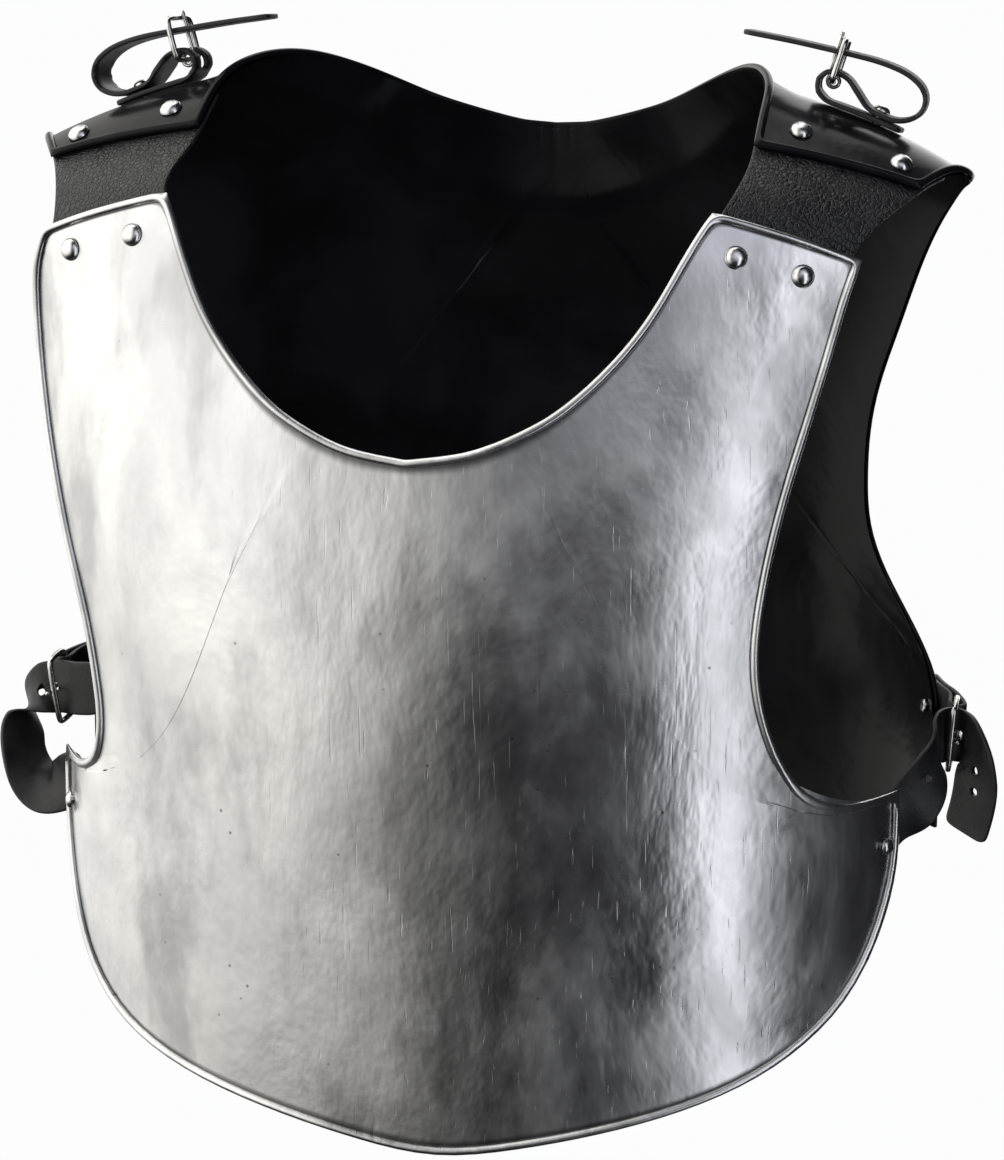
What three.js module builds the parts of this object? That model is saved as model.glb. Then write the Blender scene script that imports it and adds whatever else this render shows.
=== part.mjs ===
// Steel cuirass: a breastplate and a backplate joined over the shoulders by grained leather,
// with a buckled strap on each flank and a buckled pauldron strap on each shoulder.
// Millimetres, +Z up, the wearer faces -Y and the wearer's left is +X.
// The origin lies midway between the two places where the shoulders carry it.
import * as THREE from 'three';

// ---- driving dimensions ----
const STEEL = 1.5;                // thickness of both steel plates
const BEAD_RADIUS = 2.1;          // rolled edge of the plates, rolled outward
const SHOULDER_LEATHER = 2.4;
const STRAP_LEATHER = 2.4;
const GAP = 0.3;                  // air kept between pieces that touch
const COLUMNS = 11;               // cells from the neck edge of a plate to its outer edge
const NECK_BAND_COLUMNS = 2;      // of these, the cells of the backplate's neck band
const RIVET_HEAD_RADIUS = 5.6;
const RIVET_HEAD_HEIGHT = 3.6;
const RIVET_SHANK_RADIUS = 2.2;
const STRAP_HOLE = 4;             // side of a punched hole
const FLANK_STRAP_WIDTH = 25;
const SHOULDER_STRAP_WIDTH = 20;
const WIRE = 1.5;                 // radius of the buckles' wire
const PRONG = 1.1;                // radius of the buckles' prongs

const RAD = Math.PI / 180;

// ---- forms ----
// Each row is a section across the body: where its middle lies (y, z), how far it reaches
// to each side (halfWidth), how far it then bends round the body (depth) and how far it sits
// towards the wearer's left (aside). The beaten breastplate leans a little to the right.
const FRONT_FORM = [
  { y: -111, z: -460, halfWidth: 194, depth: 112, aside: 0 },
  { y: -119, z: -400, halfWidth: 195, depth: 119, aside: -2 },
  { y: -124, z: -340, halfWidth: 196, depth: 121, aside: -2 },
  { y: -128, z: -280, halfWidth: 197, depth: 127, aside: -3 },
  { y: -130, z: -220, halfWidth: 200, depth: 130, aside: -8 },
  { y: -128, z: -170, halfWidth: 203, depth: 127, aside: -10 },
  { y: -122, z: -125, halfWidth: 206, depth: 118, aside: -10 },
  { y: -112, z: -80, halfWidth: 209, depth: 105, aside: -9 },
  { y: -101, z: -42, halfWidth: 212, depth: 93, aside: -8 },
  { y: -82, z: -8, halfWidth: 216, depth: 80, aside: -7 },
];
const BACK_FORM = [
  { y: 108, z: -350, halfWidth: 203, depth: 108 },
  { y: 112, z: -290, halfWidth: 203, depth: 112 },
  { y: 118, z: -230, halfWidth: 204, depth: 118 },
  { y: 123, z: -170, halfWidth: 206, depth: 121 },
  { y: 122, z: -110, halfWidth: 210, depth: 112 },
  { y: 112, z: -60, halfWidth: 215, depth: 100 },
  { y: 93, z: -15, halfWidth: 226, depth: 95 },
  { y: 58, z: 15, halfWidth: 240, depth: 102 },
  { y: 15, z: 25, halfWidth: 250, depth: 104 },
  { y: -25, z: 16, halfWidth: 249, depth: 86 },
  { y: -52, z: 1, halfWidth: 246, depth: 78 },
];

// ---- outlines ----
// Each plate is ruled with lines from its neck edge to its outer edge, numbered from the
// shoulder tab to the middle of the body. A row is a point through which an edge passes: the
// line on which it lies, how far it is along the form (run, millimetres from the lower end) and
// how far round the body (angle, degrees from the middle). The beaten breastplate isn't quite
// even, so its outer edge has an angle on the wearer's left and one on the right. Halfway, a
// line hangs lower than straight by sag, so that it meets the armhole from below.
const FRONT_NECK = [
  { line: 0, run: 440, angle: 36, sag: 0 },
  { line: 6, run: 385, angle: 29, sag: 0 },
  { line: 12, run: 340, angle: 17, sag: 50 },
  { line: 18, run: 324, angle: 7, sag: 50 },
  { line: 24, run: 320, angle: 0, sag: 0 },
];
const FRONT_ARMHOLE = [
  { line: 0, run: 430, left: 59, right: 61 },
  { line: 3, run: 395, left: 57, right: 65 },
  { line: 7, run: 290, left: 49, right: 59 },
  { line: 10, run: 225, left: 46, right: 54 },
  { line: 12, run: 185, left: 49, right: 54 },
  { line: 13, run: 163, left: 54, right: 57 },
  { line: 14, run: 154, left: 64, right: 66 },
  { line: 15, run: 155, left: 77, right: 77 },
];
const FRONT_SIDE = [
  { line: 15, run: 155, left: 77, right: 77 },
  { line: 16, run: 147, left: 77, right: 77 },
  { line: 17, run: 119, left: 77, right: 77 },
];
const FRONT_HEM = [
  { line: 17, run: 119, left: 77, right: 77 },
  { line: 18, run: 80, left: 68, right: 69 },
  { line: 20, run: 40, left: 46, right: 49 },
  { line: 22, run: 20, left: 22, right: 21 },
  { line: 24, run: 7, left: 0, right: 0 },
];
// The crease is the foot of the neck band, which leans out of the form by flare at its rim.
const BACK_NECK = [
  { line: 0, run: 498, angle: 31 },
  { line: 5, run: 443, angle: 29 },
  { line: 10, run: 380, angle: 23 },
  { line: 15, run: 340, angle: 13 },
  { line: 20, run: 327, angle: 3.5 },
  { line: 29, run: 326, angle: 0 },
];
const BACK_CREASE = [
  { line: 0, run: 498, angle: 35, flare: 0, sag: 0 },
  { line: 5, run: 435, angle: 33, flare: 2.5, sag: 0 },
  { line: 10, run: 355, angle: 25, flare: 9, sag: 0 },
  { line: 15, run: 307, angle: 14, flare: 12.5, sag: 40 },
  { line: 20, run: 297, angle: 4, flare: 13, sag: 45 },
  { line: 29, run: 296, angle: 0, flare: 13, sag: 0 },
];
const BACK_ARMHOLE = [
  { line: 0, run: 498, angle: 54 },
  { line: 3, run: 470, angle: 57 },
  { line: 9, run: 340, angle: 61 },
  { line: 12, run: 270, angle: 55 },
  { line: 15, run: 195, angle: 48 },
  { line: 17, run: 150, angle: 49 },
  { line: 19, run: 110, angle: 61 },
  { line: 21, run: 80, angle: 77 },
];
const BACK_SIDE = [
  { line: 21, run: 80, angle: 77 },
  { line: 22, run: 50, angle: 77 },
  { line: 23, run: 20, angle: 77 },
];
const BACK_HEM = [
  { line: 23, run: 20, angle: 77 },
  { line: 29, run: 20, angle: 0 },
];

// ---- materials ----
const finish = (color, roughness, metalness) =>
  new THREE.MeshStandardMaterial({ color, roughness, metalness });
const steel = finish(0xc9cbc9, 0.25, 1);
const blackSteel = finish(0x17181b, 0.3, 0.6);
const rivetSteel = finish(0xe2e2df, 0.2, 1);
const buckleSteel = finish(0xd5d5d3, 0.2, 1);
const grainLeather = finish(0x16161a, 0.55, 0);
const strapLeather = finish(0x232328, 0.6, 0);

// ---- a surface through the sections of a form ----
// side is +1 where the body lies behind the form (+Y) and -1 where it lies before it.
class Form {
  constructor(sections, side) {
    this.side = side;
    this.sections = sections;
    this.runs = [0];
    for (let i = 1; i < sections.length; i += 1) {
      const last = sections[i - 1];
      this.runs.push(this.runs[i - 1] + Math.hypot(sections[i].y - last.y, sections[i].z - last.z));
    }
    this.curves = ['y', 'z', 'halfWidth', 'depth', 'aside'].map((key) => this.spline(key));
  }

  // second derivatives of the natural cubic spline of one column
  spline(key) {
    const value = this.sections.map((section) => section[key] ?? 0);
    const { runs } = this;
    const last = runs.length - 1;
    const bend = new Array(last + 1).fill(0);
    const work = new Array(last + 1).fill(0);
    for (let i = 1; i < last; i += 1) {
      const before = runs[i] - runs[i - 1];
      const after = runs[i + 1] - runs[i];
      const share = before / (before + after);
      const pivot = share * bend[i - 1] + 2;
      bend[i] = (share - 1) / pivot;
      const turn = (value[i + 1] - value[i]) / after - (value[i] - value[i - 1]) / before;
      work[i] = ((6 * turn) / (before + after) - share * work[i - 1]) / pivot;
    }
    for (let i = last - 1; i > 0; i -= 1) {
      bend[i] = bend[i] * bend[i + 1] + work[i];
    }
    return { value, bend };
  }

  // value and slope of a column at a run
  at(curve, run) {
    const { runs } = this;
    let i = 1;
    while (i < runs.length - 1 && run > runs[i]) i += 1;
    const step = runs[i] - runs[i - 1];
    const a = (runs[i] - run) / step;
    const b = 1 - a;
    const { value, bend } = curve;
    return {
      value: a * value[i - 1] + b * value[i]
        + ((a ** 3 - a) * bend[i - 1] + (b ** 3 - b) * bend[i]) * step ** 2 / 6,
      slope: (value[i] - value[i - 1]) / step
        + ((1 - 3 * a ** 2) * bend[i - 1] + (3 * b ** 2 - 1) * bend[i]) * step / 6,
    };
  }

  point(angle, run) {
    const [y, z, halfWidth, depth, aside] = this.curves.map((curve) => this.at(curve, run));
    const tangent = Math.hypot(y.slope, z.slope);
    const inward = depth.value * (1 - Math.cos(angle * RAD)) * this.side / tangent;
    return new THREE.Vector3(
      aside.value + halfWidth.value * Math.sin(angle * RAD),
      y.value + inward * z.slope,
      z.value - inward * y.slope,
    );
  }

  // unit normal pointing away from the body
  normal(angle, run) {
    const reach = 0.5;
    const across = this.point(angle + reach, run).sub(this.point(angle - reach, run));
    const along = this.point(angle, run + reach).sub(this.point(angle, run - reach));
    return across.cross(along).multiplyScalar(this.side).normalize();
  }

  spot(angle, run, lift = 0) {
    const normal = this.normal(angle, run);
    return { point: this.point(angle, run).addScaledVector(normal, lift), normal };
  }
}

// ---- an edge through a few points ----
// The curve between two points is cubic and never runs past them.
class Edge {
  constructor(...stretches) {
    this.stretches = stretches;
  }

  // the value of a column where the edge meets a line
  at(line, key) {
    const stretch = this.stretches.find((points) => line <= points[points.length - 1].line);
    const next = Math.max(1, stretch.findIndex((point) => line <= point.line));
    const [from, to] = [stretch[next - 1], stretch[next]];
    const span = to.line - from.line;
    const share = (line - from.line) / span;
    const rest = 1 - share;
    const lead = rest * slopeAt(stretch, next - 1, key) - share * slopeAt(stretch, next, key);
    return from[key] * rest ** 2 * (1 + 2 * share) + to[key] * share ** 2 * (1 + 2 * rest)
      + span * share * rest * lead;
  }
}

// the slope of a column at a point: level at a turning point, between its neighbours' elsewhere
function slopeAt(points, k, key) {
  const rise = (i) => (points[i + 1][key] - points[i][key]) / (points[i + 1].line - points[i].line);
  if (k === 0) return rise(0);
  if (k === points.length - 1) return rise(k - 1);
  const [before, after] = [rise(k - 1), rise(k)];
  return before * after > 0 ? (2 * before * after) / (before + after) : 0;
}

// ---- a closed solid from a grid of spots ----
// rows[j][i] = { point, normal }. ring lists the edge's profile as (out, up) offsets from the
// middle of the sheet. holes lists small square holes as { row, column, size, across }, where
// across is the place between the columns; slots lists the cells left open as [row, column].
function sheetSolid(rows, thickness, { ring = [], holes = [], slots = [] } = {}) {
  const positions = [];
  const faces = [];
  const rowCount = rows.length;
  const columnCount = rows[0].length;
  const add = (point) => positions.push(point.clone()) - 1;
  const layer = (lift) => rows.map((row) => row.map(
    ({ point, normal }) => add(point.clone().addScaledVector(normal, lift)),
  ));
  const top = layer(thickness / 2);
  const bottom = layer(-thickness / 2);
  // a quad is split along its longer diagonal
  const quad = (a, b, c, d) => {
    if (positions[a].distanceTo(positions[c]) >= positions[b].distanceTo(positions[d])) {
      faces.push([a, b, c], [a, c, d]);
    } else {
      faces.push([a, b, d], [b, c, d]);
    }
  };
  const wall = (upper, lower) => {
    quad(upper[0], upper[1], lower[1], lower[0]);
  };
  const open = new Set(slots.map(([j, i]) => `${j},${i}`));
  for (let j = 0; j < rowCount - 1; j += 1) {
    for (let i = 0; i < columnCount - 1; i += 1) {
      const cell = [[j, i], [j, i + 1], [j + 1, i + 1], [j + 1, i]];
      const upper = cell.map(([r, c]) => top[r][c]);
      const lower = cell.map(([r, c]) => bottom[r][c]);
      const hole = holes.find(({ row, column }) => row === j && column === i);
      if (open.has(`${j},${i}`)) {
        const beyond = [[j - 1, i], [j, i + 1], [j + 1, i], [j, i - 1]];
        beyond.forEach(([r, c], k) => {
          if (!open.has(`${r},${c}`)) {
            wall([upper[k], upper[(k + 1) % 4]], [lower[k], lower[(k + 1) % 4]]);
          }
        });
      } else if (hole) {
        const inner = [upper, lower].map((corners) => holeCorners(
          corners.map((index) => positions[index]), hole,
        ).map(add));
        for (let k = 0; k < 4; k += 1) {
          const next = (k + 1) % 4;
          quad(upper[k], upper[next], inner[0][next], inner[0][k]);
          quad(lower[next], lower[k], inner[1][k], inner[1][next]);
          wall([inner[0][k], inner[0][next]], [inner[1][k], inner[1][next]]);
        }
      } else {
        quad(...upper);
        quad(...[...lower].reverse());
      }
    }
  }
  // the boundary, once round
  const border = [];
  for (let i = 0; i < columnCount - 1; i += 1) border.push([0, i]);
  for (let j = 0; j < rowCount - 1; j += 1) border.push([j, columnCount - 1]);
  for (let i = columnCount - 1; i > 0; i -= 1) border.push([rowCount - 1, i]);
  for (let j = rowCount - 1; j > 0; j -= 1) border.push([j, 0]);
  const spots = border.map(([j, i]) => rows[j][i]);
  const loops = [border.map(([j, i]) => top[j][i])];
  const outward = spots.map(({ point, normal }, k) => {
    const before = spots[(k + spots.length - 1) % spots.length].point;
    const after = spots[(k + 1) % spots.length].point;
    const into = point.clone().sub(before).normalize();
    const from = after.clone().sub(point).normalize();
    const corner = Math.max(0.75, Math.sqrt((1 + into.dot(from)) / 2));
    return into.add(from).cross(normal).normalize().divideScalar(corner);
  });
  ring.forEach(({ out, up }) => {
    loops.push(spots.map(({ point, normal }, k) => add(
      point.clone().addScaledVector(outward[k], out).addScaledVector(normal, up),
    )));
  });
  loops.push(border.map(([j, i]) => bottom[j][i]));
  for (let l = 0; l < loops.length - 1; l += 1) {
    for (let k = 0; k < spots.length; k += 1) {
      const next = (k + 1) % spots.length;
      quad(loops[l][next], loops[l][k], loops[l + 1][k], loops[l + 1][next]);
    }
  }
  return solid(positions, faces);
}

// the corners of a square hole inside a cell with the given corners
function holeCorners([a, b, c, d], { size, across = 0.5 }) {
  const middle = a.clone().lerp(b, across).lerp(d.clone().lerp(c, across), 0.5);
  const wide = b.clone().sub(a).normalize();
  const long = d.clone().sub(a);
  long.addScaledVector(wide, -long.dot(wide)).normalize();
  return [[-1, -1], [1, -1], [1, 1], [-1, 1]].map(([u, v]) => (
    middle.clone().addScaledVector(wide, u * size / 2).addScaledVector(long, v * size / 2)));
}

// a geometry from points and faces, turned so that its faces point out
function solid(points, faces) {
  let volume = 0;
  faces.forEach(([a, b, c]) => {
    volume += points[a].dot(points[b].clone().cross(points[c]));
  });
  const geometry = new THREE.BufferGeometry();
  geometry.setAttribute('position', new THREE.Float32BufferAttribute(
    points.flatMap((point) => point.toArray()), 3,
  ));
  geometry.setIndex(faces.flatMap((face) => (volume < 0 ? [...face].reverse() : face)));
  return geometry;
}

const vec = (x, y, z) => new THREE.Vector3(x, y, z);

const object = new THREE.Group();
function place(name, geometry, material) {
  const mesh = new THREE.Mesh(geometry, material);
  mesh.name = name;
  object.add(mesh);
  return mesh;
}

const mix = (a, b, share) => a + (b - a) * share;

// ---- steel plates ----
const frontForm = new Form(FRONT_FORM, 1);
const backForm = new Form(BACK_FORM, -1);

// the rolled edge: a bead whose underside is level with the inside of the sheet
function beadProfile() {
  const centre = { out: BEAD_RADIUS * 0.9, up: BEAD_RADIUS - STEEL / 2 };
  return [165, 115, 65, 15, -35, -85].map((turn) => ({
    out: centre.out + BEAD_RADIUS * Math.cos(turn * RAD),
    up: centre.up + BEAD_RADIUS * Math.sin(turn * RAD),
  }));
}

// the edges of a plate where they meet each of its lines
function ruledLines({ neck, crease, outer }) {
  const last = neck[neck.length - 1].line;
  const neckEdge = new Edge(neck);
  const creaseEdge = new Edge(crease ?? neck);
  const outerEdge = new Edge(...outer);
  const sided = outer[0][0].left !== undefined;
  const lines = [];
  for (let line = 0; line <= last; line += 1) {
    const meet = (edge, angle) => ({ run: edge.at(line, 'run'), angle: edge.at(line, angle) });
    lines.push({
      neck: meet(neckEdge, 'angle'),
      crease: crease && meet(creaseEdge, 'angle'),
      flare: crease ? creaseEdge.at(line, 'flare') : 0,
      sag: creaseEdge.at(line, 'sag'),
      left: meet(outerEdge, sided ? 'left' : 'angle'),
      right: meet(outerEdge, sided ? 'right' : 'angle'),
    });
  }
  return lines;
}

const FRONT_LINES = ruledLines({
  neck: FRONT_NECK, outer: [FRONT_ARMHOLE, FRONT_SIDE, FRONT_HEM],
});
const BACK_LINES = ruledLines({
  neck: BACK_NECK, crease: BACK_CREASE, outer: [BACK_ARMHOLE, BACK_SIDE, BACK_HEM],
});

// where column i of a line lies, as an angle, a run and the lift of the neck band;
// side is +1 on the wearer's left and -1 on the right
function cellLine(line, i, side) {
  const outer = side > 0 ? line.left : line.right;
  const between = (from, to, share, sag = 0) => ({
    angle: mix(from.angle, to.angle, share),
    run: mix(from.run, to.run, share) - sag * Math.sin(Math.PI * share),
    lift: 0,
  });
  if (!line.crease) return between(line.neck, outer, i / COLUMNS, line.sag);
  if (i > NECK_BAND_COLUMNS) {
    const share = (i - NECK_BAND_COLUMNS) / (COLUMNS - NECK_BAND_COLUMNS);
    return between(line.crease, outer, share, line.sag);
  }
  const share = i / NECK_BAND_COLUMNS;
  return { ...between(line.neck, line.crease, share), lift: mix(line.flare, 0, share) };
}

// one line of spots across a plate
function plateLine(form, ruled, side, sink = 0) {
  const line = [];
  for (let i = 0; i <= COLUMNS; i += 1) {
    const { angle, run, lift } = cellLine(ruled, i, side);
    line.push(form.spot(side * angle, run, lift - sink));
  }
  return line;
}

function plateSpots(form, table) {
  const right = table.map((row) => plateLine(form, row, -1));
  const left = table.slice(0, -1).map((row) => plateLine(form, row, 1)).reverse();
  return [...right, ...left];
}

// the cells of a plate through which its rivets pass, on the wearer's left
const FRONT_TAB_CELLS = [{ row: 1, column: 2 }, { row: 1, column: 7 }];
const BACK_TAB_CELLS = [{ row: 1, column: 2 }, { row: 1, column: 8 }];
const FLANK_CELL = { row: 16, column: 10, across: 0.64 };
const BACK_FLANK_CELL = { row: 21, column: 10, across: 0.35 };
const SHOULDER_STRAP_CELL = { row: 5, column: 5 };

const HOLE_SIZE = 2 * RIVET_SHANK_RADIUS + 1;

function rivetHoles(cells, table) {
  const lastCell = 2 * (table.length - 1) - 1;
  return cells.flatMap((cell) => [
    { ...cell, size: HOLE_SIZE },
    { ...cell, row: lastCell - cell.row, size: HOLE_SIZE },
  ]);
}

place('breast_plate', sheetSolid(plateSpots(frontForm, FRONT_LINES), STEEL, {
  ring: beadProfile(),
  holes: rivetHoles([...FRONT_TAB_CELLS, FLANK_CELL], FRONT_LINES),
}), steel);
place('back_plate', sheetSolid(plateSpots(backForm, BACK_LINES), STEEL, {
  ring: beadProfile(),
  holes: rivetHoles([...BACK_TAB_CELLS, BACK_FLANK_CELL, SHOULDER_STRAP_CELL], BACK_LINES),
}), blackSteel);

// ---- shoulder leathers ----
// Each runs from under the front tab over the shoulder to under the back tab.
const TAB_ROWS_COVERED = 3;
const BRIDGE_LINES = 4;
const LEATHER_SINK = STEEL / 2 + GAP + SHOULDER_LEATHER / 2;

function shoulderLeather(side) {
  const covered = [];
  for (let k = 0; k <= TAB_ROWS_COVERED; k += 1) covered.push(k);
  const front = covered.map((k) => plateLine(frontForm, FRONT_LINES[k], side, LEATHER_SINK));
  const back = covered.map((k) => plateLine(backForm, BACK_LINES[k], side, LEATHER_SINK));
  const bridge = [];
  for (let k = 1; k <= BRIDGE_LINES; k += 1) {
    bridge.push(front[0].map((start, i) => bridgeSpot(
      [front[1][i], start], [back[0][i], back[1][i]], k / (BRIDGE_LINES + 1),
    )));
  }
  const rows = [...[...front].reverse(), ...bridge, ...back];
  const backRow = TAB_ROWS_COVERED + BRIDGE_LINES + 1;
  const holes = [
    ...FRONT_TAB_CELLS.map(({ row, column }) => (
      { row: TAB_ROWS_COVERED - 1 - row, column, size: HOLE_SIZE })),
    ...BACK_TAB_CELLS.map(({ row, column }) => (
      { row: backRow + row, column, size: HOLE_SIZE })),
  ];
  return sheetSolid(rows, SHOULDER_LEATHER, { holes });
}

// a spot on the smooth curve that carries one covered stretch on into the other
function bridgeSpot([fromBefore, from], [to, toAfter], share) {
  const span = from.point.distanceTo(to.point);
  const lead = from.point.clone().sub(fromBefore.point).setLength(span);
  const follow = toAfter.point.clone().sub(to.point).setLength(span);
  const rest = 1 - share;
  const point = from.point.clone().multiplyScalar(rest ** 2 * (1 + 2 * share))
    .addScaledVector(to.point, share ** 2 * (1 + 2 * rest))
    .addScaledVector(lead, share * rest ** 2)
    .addScaledVector(follow, -rest * share ** 2);
  const normal = from.normal.clone().lerp(to.normal, share).normalize();
  return { point, normal };
}

place('shoulder_leather_left', shoulderLeather(1), grainLeather);
place('shoulder_leather_right', shoulderLeather(-1), grainLeather);

// ---- rivets ----
// where the middle of a rivet's cell lies on its plate
function cellPlace(table, { row, column, across = 0.5 }, side) {
  const ends = [table[row], table[row + 1]].flatMap((line) => [
    cellLine(line, column, side), cellLine(line, column + 1, side),
  ]);
  const blend = (key) => (mix(ends[0][key], ends[1][key], across)
    + mix(ends[2][key], ends[3][key], across)) / 2;
  return { angle: side * blend('angle'), run: blend('run') };
}

function cellSpot(form, table, cell, side) {
  const { angle, run } = cellPlace(table, cell, side);
  return form.spot(angle, run);
}

const flip = (vector) => new THREE.Vector3(-vector.x, vector.y, vector.z);
const mirrored = ({ point, normal }) => ({ point: flip(point), normal: flip(normal) });

// A domed rivet whose head lies at headLift and whose set end lies at -endDepth,
// both measured from the middle of the plate along its normal.
const RIVET_SIDES = 10;
function rivet(name, { point, normal }, headLift, endDepth, radius = RIVET_HEAD_RADIUS) {
  const height = RIVET_HEAD_HEIGHT * radius / RIVET_HEAD_RADIUS;
  const profile = [[0, -endDepth - 1.4], [radius * 0.62, -endDepth - 1.4],
    [radius * 0.82, -endDepth - 0.7], [radius * 0.82, -endDepth],
    [RIVET_SHANK_RADIUS, -endDepth], [RIVET_SHANK_RADIUS, headLift], [radius, headLift]];
  for (const turn of [25, 55]) {
    profile.push([radius * Math.cos(turn * RAD), headLift + height * Math.sin(turn * RAD)]);
  }
  profile.push([0, headLift + height]);
  const geometry = new THREE.LatheGeometry(
    profile.map(([x, y]) => new THREE.Vector2(x, y)), RIVET_SIDES,
  );
  const mesh = place(name, geometry, rivetSteel);
  mesh.position.copy(point);
  mesh.quaternion.setFromUnitVectors(new THREE.Vector3(0, 1, 0), normal);
}

const TAB_HEAD_LIFT = STEEL / 2 + GAP;
const TAB_END_DEPTH = STEEL / 2 + SHOULDER_LEATHER + 2 * GAP;
const TABS = [
  { name: 'breast', form: frontForm, table: FRONT_LINES, cells: FRONT_TAB_CELLS },
  { name: 'back', form: backForm, table: BACK_LINES, cells: BACK_TAB_CELLS },
];
const SIDES = [{ word: 'left', side: 1 }, { word: 'right', side: -1 }];
TABS.forEach(({ name, form, table, cells }) => cells.forEach((cell, k) => {
  const end = ['inner', 'outer'][k];
  SIDES.forEach(({ word, side }) => {
    const spot = cellSpot(form, table, cell, side);
    rivet(`${name}_tab_rivet_${word}_${end}`, spot, TAB_HEAD_LIFT, TAB_END_DEPTH);
  });
}));

// ---- straps ----
// A strap along a route of stops. Each stop has its point and the way of the strap's width
// (across), and may have the size of a hole punched there, or slotEnd where the slot for a
// prong begins or ends.
const STRAP_STEP = 8;             // millimetres between lines where the strap is straight
const STRAP_TURN = 24;            // degrees between lines where it bends
const STRAP_COLUMNS = 3;
const MIDDLE_COLUMN = 1;
const ROUTE_SAMPLES = 600;
const HOLE_MARGIN = 0.8;          // leather left in a line of cells beside a punched hole

function strap(stops, width) {
  const route = new THREE.CatmullRomCurve3(stops.map(({ point }) => point), false, 'centripetal');
  const samples = route.getPoints(ROUTE_SAMPLES);
  const tangents = samples.map((_, k) => route.getTangent(k / ROUTE_SAMPLES));
  const lengths = [0];
  for (let k = 1; k <= ROUTE_SAMPLES; k += 1) {
    lengths.push(lengths[k - 1] + samples[k].distanceTo(samples[k - 1]));
  }
  const sampleAt = (length) => Math.max(0, lengths.findIndex((reached) => reached >= length - 1e-6));
  const stopLength = (k) => lengths[Math.round((k / (stops.length - 1)) * ROUTE_SAMPLES)];
  // lines at both ends of each hole and slot, and others between them
  const fixed = [0, lengths[ROUTE_SAMPLES]];
  const holes = [];
  const slotEnds = [];
  stops.forEach(({ hole, slotEnd }, k) => {
    if (hole) {
      const reach = hole / 2 + HOLE_MARGIN;
      fixed.push(stopLength(k) - reach, stopLength(k) + reach);
      holes.push({ size: hole, middle: stopLength(k) });
    }
    if (slotEnd) {
      fixed.push(stopLength(k));
      slotEnds.push(stopLength(k));
    }
  });
  fixed.sort((a, b) => a - b);
  const lines = [0];
  for (let k = 1; k < fixed.length; k += 1) {
    const [first, last] = [sampleAt(fixed[k - 1]), sampleAt(fixed[k])];
    const need = [0];
    for (let i = first; i < last; i += 1) {
      need.push(need[i - first] + (lengths[i + 1] - lengths[i]) / STRAP_STEP
        + tangents[i].angleTo(tangents[i + 1]) / (STRAP_TURN * RAD));
    }
    const total = need[need.length - 1];
    const punched = holes.some(({ middle }) => middle > fixed[k - 1] && middle < fixed[k]);
    const cells = punched ? 1 : Math.max(1, Math.round(total));
    for (let c = 1; c <= cells; c += 1) {
      lines.push(lengths[first + need.findIndex((value) => value >= (c / cells) * total - 1e-9)]);
    }
  }
  const rows = lines.map((length) => {
    const sample = sampleAt(length);
    const progress = (sample / ROUTE_SAMPLES) * (stops.length - 1);
    const before = Math.min(Math.floor(progress), stops.length - 2);
    const along = tangents[sample];
    const across = stops[before].across.clone().lerp(stops[before + 1].across, progress - before);
    across.addScaledVector(along, -along.dot(across)).normalize();
    const normal = along.clone().cross(across);
    const line = [];
    for (let i = 0; i <= STRAP_COLUMNS; i += 1) {
      const offset = (i / STRAP_COLUMNS - 0.5) * width;
      line.push({ point: samples[sample].clone().addScaledVector(across, offset), normal });
    }
    return line;
  });
  const cellAt = (length) => lines.findIndex((line) => line > length) - 1;
  const slots = [];
  if (slotEnds.length > 0) {
    for (let row = cellAt(slotEnds[0] + 0.1); row < cellAt(slotEnds[1] + 0.1); row += 1) {
      slots.push([row, MIDDLE_COLUMN]);
    }
  }
  return sheetSolid(rows, STRAP_LEATHER, {
    holes: holes.map(({ size, middle }) => ({ size, row: cellAt(middle), column: MIDDLE_COLUMN })),
    slots,
  });
}

// ---- buckles ----
// A buckle's seat is the middle of its first bar (bar), the way to its second bar (way) and
// the side on which its prong lies (up). The frame lies in its own XY plane with the first
// bar on the Y axis and the second at x = length.
const WIRE_SIDES = 8;
const CORNER_RADIUS = 3.5;
const CORNER_STEPS = 2;
const BUCKLE_EASE = 3;            // how much wider a buckle is inside than its strap

function buckleFrame(length, width) {
  const [low, high] = [CORNER_RADIUS, length - CORNER_RADIUS];
  const half = width / 2 + WIRE + BUCKLE_EASE / 2;
  const corners = [
    { x: low, y: CORNER_RADIUS - half, from: 180 },
    { x: high, y: CORNER_RADIUS - half, from: 270 },
    { x: high, y: half - CORNER_RADIUS, from: 0 },
    { x: low, y: half - CORNER_RADIUS, from: 90 },
  ];
  const stops = corners.flatMap(({ x, y, from }) => [0, 1, 2].map((k) => (
    { x, y, turn: (from + (k * 90) / CORNER_STEPS) * RAD })));
  const points = [];
  const faces = [];
  const corner = (stop, side) => (stop % stops.length) * WIRE_SIDES + (side % WIRE_SIDES);
  stops.forEach(({ x, y, turn }, k) => {
    for (let side = 0; side < WIRE_SIDES; side += 1) {
      const roll = (2 * Math.PI * side) / WIRE_SIDES;
      const reach = CORNER_RADIUS + WIRE * Math.cos(roll);
      points.push(vec(
        x + reach * Math.cos(turn), y + reach * Math.sin(turn), WIRE * Math.sin(roll),
      ));
      faces.push(
        [corner(k, side), corner(k + 1, side), corner(k + 1, side + 1)],
        [corner(k, side), corner(k + 1, side + 1), corner(k, side + 1)],
      );
    }
  });
  return solid(points, faces);
}

// the prong hooks round the first bar and lies on the second
const PRONG_SIDES = 8;
const PRONG_STEPS = 14;
const PRONG_LIFT = WIRE + GAP + PRONG;

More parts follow.
